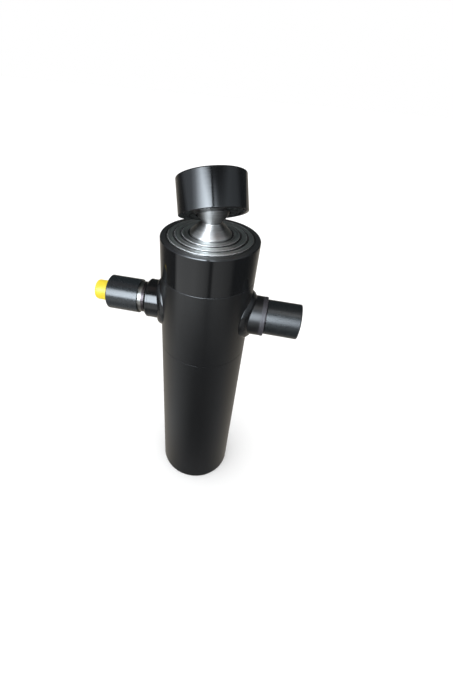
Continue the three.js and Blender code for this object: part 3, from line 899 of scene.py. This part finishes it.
# Dim, tinted sides of the room: their span and rise as above, how bright, and how tinted.
WALLS = {
    "wall_left": ((-130, -58), (48, 74), 0.3, (1.0, 0.82, 0.80)),
    "wall_right": ((46, 130), (46, 74), 0.4, (1.0, 0.78, 0.68)),
    "ceiling_right": ((10, 44), (58, 84), 2.6, (1.0, 0.98, 0.96)),
    "ceiling_front": ((-46, 10), (58, 86), 1.1, (0.94, 0.98, 1.0)),
}

SOFT_LIGHT_FROM = Vector((-0.45, -0.6, 0.66))
SOFT_LIGHT_SPREAD = (-0.6, 1.0)  # how far round from there the soft light fades, as dot products
SOFT_LIGHT = (0.55, 1.75)        # its strength on the far side and on the near side
ROOM_TINT = (0.85, 0.97, 1.0)
ROOM_LIGHT = 0.05                # the rest of the room, in reflections


def surroundings(f, stops):
    """A ring of brightness round the object, as a colour socket. stops are as in WINDOWS."""
    parts = f.add("ShaderNodeSeparateXYZ", {0: f.object})
    toward = f.math("MULTIPLY", parts.outputs[1], -1.0)
    azimuth = f.math("SUBTRACT", f.math("ARCTAN2", parts.outputs[0], toward),
                     math.radians(CAMERA_AZIMUTH))
    share = f.math("FRACT", f.math("ADD", f.math("DIVIDE", azimuth, 2 * math.pi), 0.5))
    ramp = f.add("ShaderNodeValToRGB", {0: share})
    points = ramp.color_ramp.elements
    while len(points) < len(stops):
        points.new(0.5)
    for point, (degrees, bright, tint) in zip(points, stops):
        point.position = degrees / 360 + 0.5
        point.color = rgb(*(bright * t for t in tint))
    return ramp.outputs[0]


def floor():
    """A plain pale floor. Glossy surfaces see the room's light and dark on it instead."""
    size = FLOOR_SIZE
    mesh = bpy.data.meshes.new("floor")
    corners = [(-size, -size, 0), (size, -size, 0), (size, size, 0), (-size, size, 0)]
    mesh.from_pydata(corners, [], [(0, 1, 2, 3)])
    plane = bpy.data.objects.new("floor", mesh)
    bpy.context.scene.collection.objects.link(plane)
    f = Finish("floor_paper", Roughness=0.9)
    f.shader.inputs["Specular IOR Level"].default_value = 0.0
    f.feed(f.shader, "Base Color",
           f.mix(f.noise(3.0), rgb(0.93, 0.93, 0.93), rgb(0.96, 0.96, 0.955)))
    distance = f.add("ShaderNodeVectorMath", {0: f.object}, operation="LENGTH").outputs["Value"]
    near = f.mix(f.span(distance, 0.0, 1.0, *NEAR_TO_MIDDLE),
                 surroundings(f, FLOOR_NEAR), surroundings(f, FLOOR_MIDDLE))
    seen = f.mix(f.span(distance, 0.0, 1.0, *MIDDLE_TO_FAR), near, surroundings(f, FLOOR_FAR))
    mirrored = f.add("ShaderNodeEmission", {"Color": seen, "Strength": 1.0})
    path = f.add("ShaderNodeLightPath")
    both = f.add("ShaderNodeMixShader", {
        0: path.outputs["Is Glossy Ray"], 1: f.shader.outputs[0], 2: mirrored.outputs[0]})
    f.links.new(both.outputs[0], f.nodes["Material Output"].inputs["Surface"])
    mesh.materials.append(f.material)
    plane.visible_shadow = False


def patch(name, azimuths, elevations, steps):
    """Part of a large sphere round the object's top, which only glossy surfaces see."""
    points, faces = [], []
    for i in range(steps + 1):
        a = math.radians(CAMERA_AZIMUTH + azimuths[0] + (azimuths[1] - azimuths[0]) * i / steps)
        for k in range(steps + 1):
            e = math.radians(elevations[0] + (elevations[1] - elevations[0]) * k / steps)
            way = Vector((math.sin(a) * math.cos(e), -math.cos(a) * math.cos(e), math.sin(e)))
            points.append(WINDOW_DISTANCE * way)
    for i in range(steps):
        for k in range(steps):
            corner = i * (steps + 1) + k
            faces.append((corner, corner + 1, corner + steps + 2, corner + steps + 1))
    mesh = bpy.data.meshes.new(name)
    mesh.from_pydata(points, [], faces)
    pane = bpy.data.objects.new(name, mesh)
    pane.location = WINDOW_CENTRE
    bpy.context.scene.collection.objects.link(pane)
    pane.visible_camera = False
    pane.visible_diffuse = False
    pane.visible_shadow = False
    return pane


def shine(pane, f, colour, strength):
    """Makes a pane glow."""
    glow = f.add("ShaderNodeEmission", {"Color": colour, "Strength": strength})
    f.links.new(glow.outputs[0], f.nodes["Material Output"].inputs["Surface"])
    pane.data.materials.append(f.material)


def windows():
    """The bright windows, which fade at their foot and head."""
    pane = patch("windows", WINDOW_SPAN, WINDOW_RISE, WINDOW_STEPS)
    f = Finish("window_light")
    shares = [(degrees, bright / BRIGHTEST, tint) for degrees, bright, tint in WINDOWS]
    parts = f.add("ShaderNodeSeparateXYZ", {0: f.object})
    height = f.math("DIVIDE", parts.outputs[2], WINDOW_DISTANCE)
    low, high = WINDOW_RISE
    edges = (low, low + SOFT_EDGE, high - SOFT_EDGE, high)
    foot, foot_in, head_in, head = (math.sin(math.radians(e)) for e in edges)
    rise = f.span(height, 0.0, 1.0, foot, foot_in)
    fall = f.span(height, 1.0, 0.0, head_in, head)
    strength = f.math("MULTIPLY", f.math("MULTIPLY", rise, fall), BRIGHTEST)
    shine(pane, f, surroundings(f, shares), strength)


def wall(name, azimuths, elevations, radiance, tint):
    """A dim, tinted side of the room in reflections."""
    shine(patch(name, azimuths, elevations, WALL_STEPS), Finish(name), rgb(*tint), radiance)


def world():
    """White to the camera, soft light from above and the left, and a dim room in reflections."""
    room = bpy.data.worlds.new("room")
    room.use_nodes = True
    nodes, links = room.node_tree.nodes, room.node_tree.links

    def background(tint, strength):
        shader = nodes.new("ShaderNodeBackground")
        shader.inputs["Color"].default_value = rgb(*tint)
        shader.inputs["Strength"].default_value = strength
        return shader.outputs[0]

    def choose(factor, first, second):
        mix = nodes.new("ShaderNodeMixShader")
        for socket, value in zip(mix.inputs, (factor, first, second)):
            links.new(value, socket)
        return mix.outputs[0]

    path = nodes.new("ShaderNodeLightPath")
    way = nodes.new("ShaderNodeTexCoord")
    facing = nodes.new("ShaderNodeVectorMath")
    facing.operation = "DOT_PRODUCT"
    facing.inputs[1].default_value = SOFT_LIGHT_FROM
    links.new(way.outputs["Generated"], facing.inputs[0])
    share = nodes.new("ShaderNodeMapRange")
    for socket, value in zip(("From Min", "From Max"), SOFT_LIGHT_SPREAD):
        share.inputs[socket].default_value = value
    links.new(facing.outputs["Value"], share.inputs["Value"])
    soft = choose(share.outputs[0], *(background(WHITE, strength) for strength in SOFT_LIGHT))
    seen = choose(path.outputs["Is Camera Ray"], soft, background(WHITE, 1.0))
    all_round = choose(path.outputs["Is Glossy Ray"], seen, background(ROOM_TINT, ROOM_LIGHT))
    links.new(all_round, nodes["World Output"].inputs["Surface"])
    bpy.context.scene.world = room


def camera():
    """The photograph's view: close above the front, tilted down, rolled a little."""
    angles = (CAMERA_AZIMUTH, CAMERA_ELEVATION, CAMERA_ROLL)
    azimuth, elevation, roll = (math.radians(angle) for angle in angles)
    back = Vector((math.sin(azimuth) * math.cos(elevation),
                   -math.cos(azimuth) * math.cos(elevation), math.sin(elevation)))
    level = Vector((math.cos(azimuth), math.sin(azimuth), 0))
    down = (-back).cross(level)
    right = math.cos(roll) * level + math.sin(roll) * down
    up = math.sin(roll) * level - math.cos(roll) * down
    data = bpy.data.cameras.new("camera")
    data.lens = CAMERA_LENS
    data.sensor_width = 36.0
    data.shift_x, data.shift_y = CAMERA_SHIFT
    data.clip_start = 0.01
    eye = bpy.data.objects.new("camera", data)
    turned = Matrix((right, up, back)).transposed().to_4x4()
    eye.matrix_world = Matrix.Translation(CAMERA_PLACE) @ turned
    bpy.context.scene.collection.objects.link(eye)
    bpy.context.scene.camera = eye


# ---------- everything in turn ----------
build_barrel()
build_trunnions()
build_stages()
build_ball_cap()
floor()
windows()
for name, (azimuths, elevations, radiance, tint) in WALLS.items():
    wall(name, azimuths, elevations, radiance, tint)
world()
camera()
bpy.context.scene.view_settings.view_transform = "Standard"
